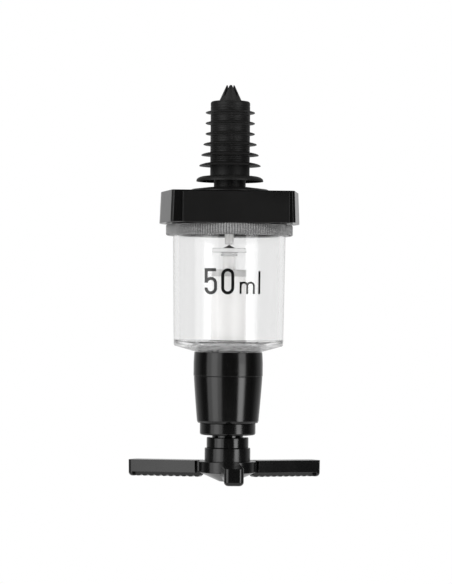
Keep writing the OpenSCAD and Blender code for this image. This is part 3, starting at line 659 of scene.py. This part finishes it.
# Each stroke lies a step higher than the one before, so that no two faces meet in one place.
strokes = [(path, DIGIT_STROKE) for path in (five_bar, five_stem, five_bowl, zero)]
strokes += [(path, LETTER_STROKE) for path in (m_stem, *m_arches, letter_l)]
mark = bmesh.new()
for number, (path, width) in enumerate(strokes):
    ink_stroke(mark, finely(path), width, INK_STEP * number)
for vert in mark.verts:
    vert.co = on_chamber(vert.co.x, vert.co.z, vert.co.y)
bmesh.ops.recalc_face_normals(mark, faces=mark.faces)
piece("capacity_mark", mark, "measure", mark_ink, [], weighted=False)


# ---------------------------------------------------------------- inside the chamber

mouth, spout_top = low("inlet_spout"), high("inlet_spout")
piece("spout", turned([
    (1.4, spout_top), (1.9, spout_top), (1.9, mouth, 0.1), (1.4, mouth, 0.1),
], 64), "measure", valve_milky, ["inlet_spout"])

cone_low, cone_top = low("valve_cone"), high("valve_cone")
piece("cone", turned([
    (0, cone_top), (0.25, cone_top - 0.08), (1.12, cone_top - 0.64), (2.6, cone_low + 0.14),
    (2.52, cone_low), (0, cone_low),
], 64), "inlet_valve", seal_black, ["valve_cone"], weighted=False)

disc_top, boss_low = high("valve_disc"), low("valve_disc")
piece("disc", turned([
    (0, disc_top), (7.2, disc_top, 0.25), (7.2, disc_top - 1.8, 0.25), (3.6, disc_top - 1.8, 0.2),
    (3.6, boss_low, 0.2), (0, boss_low),
], 96), "inlet_valve", valve_clear, ["valve_disc"])

stem_low, stem_top = low("valve_stem"), high("valve_stem")
piece("stem", turned([
    (0, stem_top), (2.7, stem_top, 0.15), (2.7, stem_low + 1.2), (4.4, stem_low + 1.2, 0.15),
    (4.4, stem_low, 0.15), (0, stem_low),
], 64), "inlet_valve", valve_milky, ["valve_stem"])

cap_low, cap_top = low("column_cap"), high("column_cap")
column_top, column_low = high("column"), low("column")
piece("cap", turned([
    (2.76, cap_top, 0.1), (7.3, cap_top, 0.35), (7.3, column_top, 0.1), (4.95, column_top),
    (4.95, cap_low), (2.76, cap_low),
], 96), "plunger", cap_grey, ["column_cap"])

column_r = reach("column")
piece("pale_column", turned([
    (5.0, column_top), (column_r, column_top, 0.2), (column_r, column_low, 0.3), (BORE, column_low),
    (BORE, column_low + 9.5), (3.9, column_low + 9.6), (3.9, column_top - 16.05), (5.0, column_top - 16.0),
], 96), "plunger", milky, ["column"])

seal_low, seal_top = low("outlet_seal"), high("outlet_seal")
piece("outlet_ring", turned([
    (BORE, seal_top), (7.8, seal_top, 0.2), (7.8, seal_top - 1.1, 0.2), (6.0, seal_top - 1.1),
    (6.0, seal_low, 0.3), (BORE, seal_low),
], 96), "plunger", seal_black, ["outlet_seal"])


# ---------------------------------------------------------------- black body

band_top, sleeve_low = high("body_collar"), low("body_collar")
band_low = band_top - 10.1
band_r = reach("body_collar")
piece("upper_band", turned([
    (11.1, band_top), (band_r - 0.25, band_top, 0.3), (band_r - 0.1, band_top - 2.4),
    (band_r, band_top - 4.6, 0.3), (band_r, band_low, 0.15), (11.3, band_low), (11.3, sleeve_low, 0.2),
    (SLEEVE_BORE, sleeve_low), (SLEEVE_BORE, band_top - 8.9), (11.1, band_top - 8.9),
]), "measure", gloss_black, ["body_collar"], smooth=30)

SHELL_FOOT_R, TAPER_HEIGHT, TAPER_STEPS = 12.95, 18.7, 12
shell_top, shell_low = high("body_shell"), low("body_shell")
shell_r = reach("body_shell")
taper = [i / TAPER_STEPS for i in range(TAPER_STEPS + 1)]
side = [(shell_r - (shell_r - SHELL_FOOT_R) * t ** 1.15, shell_top - TAPER_HEIGHT * t) for t in taper]
piece("lower_shell", turned([
    (11.4, shell_top), (*side[0], 0.15), *side[1:-1], (*side[-1], 0.25),
    (SHELL_FOOT_R - 0.4, shell_low, 0.15), (SLEEVE_BORE, shell_low), (SLEEVE_BORE, shell_low + 2.6),
    (8.8, shell_low + 2.6), (8.8, shell_top - 4.85), (11.4, shell_top - 4.85),
]), "measure", gloss_black, ["body_shell"], smooth=30)

nut_top, nut_low = high("nose_nut"), low("nose_nut")
collar_top = nut_low + 4.9
nose_r = reach("nose_nut")
piece("nose_collar", turned([
    (4.3, nut_top), (9.5, nut_top), (9.5, collar_top), (nose_r, collar_top, 0.2), (nose_r, nut_low, 0.85),
    (9.1, nut_low, 0.15), (9.1, nut_low + 4.5), (6.8, nut_low + 4.5), (6.8, nut_low + 6.5),
    (4.3, nut_low + 6.5),
]), "measure", gloss_black, ["nose_nut"], smooth=30)


# ---------------------------------------------------------------- hub and lever

hub_top, hub_low = high("hub_nut"), low("hub_nut")
piece("hub_ring", turned([
    (BORE, hub_top), (6.5, hub_top), (6.5, hub_low + 4.4), (8.8, hub_low + 4.4, 0.4),
    (8.8, hub_low, 0.35), (BORE, hub_low),
]), "plunger", hub_black, ["hub_nut"], smooth=30)

sleeve_top, sleeve_foot = high("hub_sleeve"), low("hub_sleeve")
barrel_r = reach("hub_sleeve")
piece("hub_barrel", turned([
    (BORE, sleeve_top), (barrel_r, sleeve_top, 0.35), (barrel_r, sleeve_foot), (BORE, sleeve_foot),
]), "plunger", hub_black, ["hub_sleeve"], smooth=30)

disc_line, disc_foot = sleeve_foot, sleeve_foot - 4.7
ARM = {
    "start": 13.3, "reach": 46.0, "width": 8.0, "height": 5.2, "end": 2.6,
    "depth": low("lever") - sleeve_foot,
}
ARM_ROOT, ARM_DROOP = 11, radians(1.0)   # each arm droops a little about its root
RIB_START, RIB_WIDTH, TEETH, TOOTH = 12.25, 5.2, 10, 0.7


def slab(bm, outline, width):
    """Stands a side outline of (reach, height) up on its edge and gives it a width across the arm."""
    verts = [bm.verts.new((-width / 2 * MM, -x * MM, z * MM)) for x, z in outline]
    face = bm.faces.new(verts)
    grown = bmesh.ops.extrude_face_region(bm, geom=[face])
    moved = [item for item in grown["geom"] if isinstance(item, bmesh.types.BMVert)]
    bmesh.ops.translate(bm, verts=moved, vec=(width * MM, 0, 0))
    bmesh.ops.recalc_face_normals(bm, faces=bm.faces)


def edges_where(bm, test):
    """Edges with both ends where a test of (reach, height) in millimetres holds."""
    return [edge for edge in bm.edges if all(test(-v.co.y / MM, v.co.z / MM) for v in edge.verts)]


def arm():
    """The bar of an arm that points to the front, with the deep wall at its end."""
    bm = bmesh.new()
    start, tip = ARM["start"], ARM["reach"]
    under, bottom = disc_line - ARM["height"], disc_line + ARM["depth"]
    inner = tip - ARM["end"]
    slab(bm, [
        (start, disc_line), (tip, disc_line), (tip, bottom), (inner, bottom), (inner, under), (start, under),
    ], ARM["width"])
    # The end's upright corners are rounded first, then its sole, then what is still sharp.
    upright = edges_where(bm, lambda out, z: out > tip - 0.01)
    round_edges(bm, [e for e in upright if abs(e.verts[0].co.x - e.verts[1].co.x) < 1e-6], 2.2, 8)
    sole = edges_where(bm, lambda out, z: z < bottom + 0.01)
    sole = [e for e in sole if not all(-v.co.y / MM < inner + 0.01 for v in e.verts)]
    round_edges(bm, [e for e in sole if len(e.link_faces) == 2], 1.6, 6)
    round_edges(bm, sharp_edges(bm, 40), 0.3)
    return bm


def arm_foot():
    """The rib under an arm, narrower at its foot, which is toothed."""
    bm = bmesh.new()
    under = disc_line - ARM["height"]
    root = under + ARM["depth"] + ARM["height"] + TOOTH
    end = ARM["reach"] - ARM["end"]
    pitch = (end - RIB_START) / TEETH
    outline = [(RIB_START, under + 0.5)]
    for i in range(TEETH):
        outline += [
            (RIB_START + i * pitch, root), (RIB_START + (i + 0.3) * pitch, root - TOOTH),
            (RIB_START + (i + 0.7) * pitch, root - TOOTH),
        ]
    slab(bm, outline + [(end, root), (end, under + 0.5)], RIB_WIDTH)
    for vert in bm.verts:
        if vert.co.z / MM < under:
            vert.co.x *= 0.6
    toothed = edges_where(bm, lambda out, z: z < root + 0.1)
    round_edges(bm, sharp_edges(bm, 30, lambda edge: edge in toothed), 0.15, 2)
    return bm


def web():
    """The short web between an arm and the side of the hub's disc."""
    bm = bmesh.new()
    slab(bm, [(9.0, disc_line), (14.0, disc_line), (14.0, disc_foot), (9.0, disc_foot)], 5.4)
    round_edges(bm, [e for e in bm.edges if abs(e.verts[0].co.y - e.verts[1].co.y) > 1e-4], 0.3)
    return bm


def join(bm, part, turn):
    """Adds a part's mesh to another, turned round the axis."""
    bmesh.ops.rotate(part, verts=part.verts, cent=(0, 0, 0), matrix=Matrix.Rotation(turn, 3, "Z"))
    held = bpy.data.meshes.new("held")
    part.to_mesh(held)
    part.free()
    bm.from_mesh(held)
    bpy.data.meshes.remove(held)


lever = turned([
    (BORE, disc_line), (11.95, disc_line, 0.35), (11.95, disc_foot, 0.2), (4.65, disc_foot),
    (4.65, disc_foot + 3.0), (BORE, disc_foot + 3.0),
])
droop = Matrix.Rotation(ARM_DROOP, 3, "X")
for number in range(3):
    for make in (arm, arm_foot, web):
        limb = make()
        bmesh.ops.rotate(limb, verts=limb.verts, cent=(0, -ARM_ROOT * MM, disc_line * MM), matrix=droop)
        join(lever, limb, 2 * pi * number / 3)
piece("three_arm_lever", lever, "plunger", gloss_black, ["lever"])

nozzle_top, nozzle_low = high("outlet_nozzle"), low("outlet_nozzle")
cone_edge = nozzle_low + 3.8
piece("nozzle", turned([
    (2.6, nozzle_top), (4.6, nozzle_top), (4.6, cone_edge), (11.85, cone_edge, 0.12),
    (3.4, nozzle_low, 0.2), (2.6, nozzle_low, 0.15),
]), "plunger", gloss_black, ["outlet_nozzle"], smooth=30)


# ---------------------------------------------------------------- springs

def coil(node, name, body):
    """A node's wound spring, copied into a piece with a mesh of its own."""
    made = piece(name, copy_of(node, 0.0), body, spring_wire, [node], smooth=60, weighted=False)
    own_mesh(made)


coil("return_spring", "return_coil", "measure")
coil("valve_spring", "valve_coil", "plunger")


# ---------------------------------------------------------------- floor, light and camera, in metres

FLOOR_Z = -0.32
FLOOR_R = 0.8

floor_bm = bmesh.new()
bmesh.ops.create_circle(
    floor_bm, cap_ends=True, segments=96, radius=FLOOR_R, matrix=Matrix.Translation((0, 0, FLOOR_Z)),
)
floor_mesh = bpy.data.meshes.new("floor")
floor_bm.to_mesh(floor_mesh)
floor_bm.free()
floor = bpy.data.objects.new("floor", floor_mesh)
bpy.context.scene.collection.objects.link(floor)
floor_paint = bpy.data.materials.new("pale_floor")
# White to the camera and through clear plastic; its reflection fades towards the camera.
bench = Bench(floor_paint)
camera_ray, glossy_ray, through_ray = bench.rays()
seen_level = bench.ramp(bench.along("Y") + 0.5, (0.38, 0.06), (0.52, 0.3), (0.66, 0.85))
reflected_ray = glossy_ray * (1 - through_ray)
seen = camera_ray + (1 - camera_ray) * (reflected_ray * seen_level + through_ray)
glow = bench.node("ShaderNodeEmission", {}, {"Color": rgb(1.0), "Strength": 1.0})
bench.output(bench.mix_shader(seen * 0.8, bench.diffuse(rgb(0.7)), glow))
floor_mesh.materials.append(floor_paint)

DISTANCE = 1.04
EYE_Z, AIM_Z = -0.039, -0.0285
ROLL = radians(0.5)
FOCAL_LENGTH = 152.6    # in millimetres, for 36 mm along the picture's longer side
SHIFT_X = -2.85 / 584   # as a share of that side


def around(angle_from_camera, distance, height):
    """A place at an angle to the right of the camera, seen from the part."""
    turn = AZIMUTH + angle_from_camera
    return Vector((distance * sin(turn), -distance * cos(turn), height))


def aimed(thing, place, target, roll=0.0):
    """Stands a lamp or a camera at a place and turns it to a target."""
    look = (target - place).to_track_quat("-Z", "Y").to_matrix().to_4x4()
    thing.matrix_world = Matrix.Translation(place) @ look @ Matrix.Rotation(roll, 4, "Z")


def softbox(name, angle, distance, height, width, tall, level):
    """A soft panel that faces the axis, level times as bright as white."""
    lamp = bpy.data.lights.new(name, "AREA")
    lamp.shape = "RECTANGLE"
    lamp.size, lamp.size_y = width, tall
    lamp.energy = level * pi * width * tall
    made = bpy.data.objects.new(name, lamp)
    bpy.context.scene.collection.objects.link(made)
    aimed(made, around(radians(angle), distance, height), Vector((0, 0, height)))


softbox("left_panel", -48.5, distance=1.3, height=0.5, width=1.3, tall=1.9, level=1.45)
softbox("left_strip", -46.5, distance=1.32, height=0.5, width=0.5, tall=1.9, level=1.0)
softbox("right_panel", 47.5, distance=1.3, height=0.5, width=0.58, tall=1.9, level=2.4)
softbox("right_low_panel", 46.5, distance=1.36, height=-0.355, width=0.42, tall=0.5, level=2.4)

world = bpy.data.worlds.new("studio")
bpy.context.scene.world = world
# White to the camera; reflections and the view through clear plastic darken from the back to the front.
bench = Bench(world)
camera_ray, glossy_ray, through_ray = bench.rays()
direction = bench.node("ShaderNodeTexCoord", output="Generated")
backward = bench.dot(direction, around(0, -1, 0).normalized()) * 0.5 + 0.5
glossy_level = bench.ramp(
    backward,
    (0.0, 0.02), (0.5, 0.02), (0.59, 0.05), (0.67, 0.2), (0.75, 0.33), (0.854, 0.4), (0.93, 0.6),
    (1.0, 0.7),
)
through_level = bench.ramp(backward, (0.0, 0.6), (0.5, 0.75), (0.9, 1.0))
reflected_ray = glossy_ray * (1 - through_ray)
above = bench.dot(direction, (0, 0, 1))
other = (1 - glossy_ray) * (1 - through_ray) * (0.55 + above * 0.35)
level = reflected_ray * glossy_level + through_ray * through_level + other
level = camera_ray + (1 - camera_ray) * level
background = bench.node("ShaderNodeBackground", {}, {"Color": rgb(1.0), "Strength": level})
bench.output(background, "ShaderNodeOutputWorld")

lens = bpy.data.cameras.new("camera")
lens.sensor_width = 36
lens.lens = FOCAL_LENGTH
lens.clip_start = 0.01
lens.shift_x = SHIFT_X
camera = bpy.data.objects.new("camera", lens)
bpy.context.scene.collection.objects.link(camera)
aimed(camera, around(0, DISTANCE, EYE_Z), Vector((0, 0, AIM_Z)), ROLL)
bpy.context.scene.camera = camera
bpy.context.scene.view_settings.view_transform = "Standard"

bpy.context.view_layer.update()
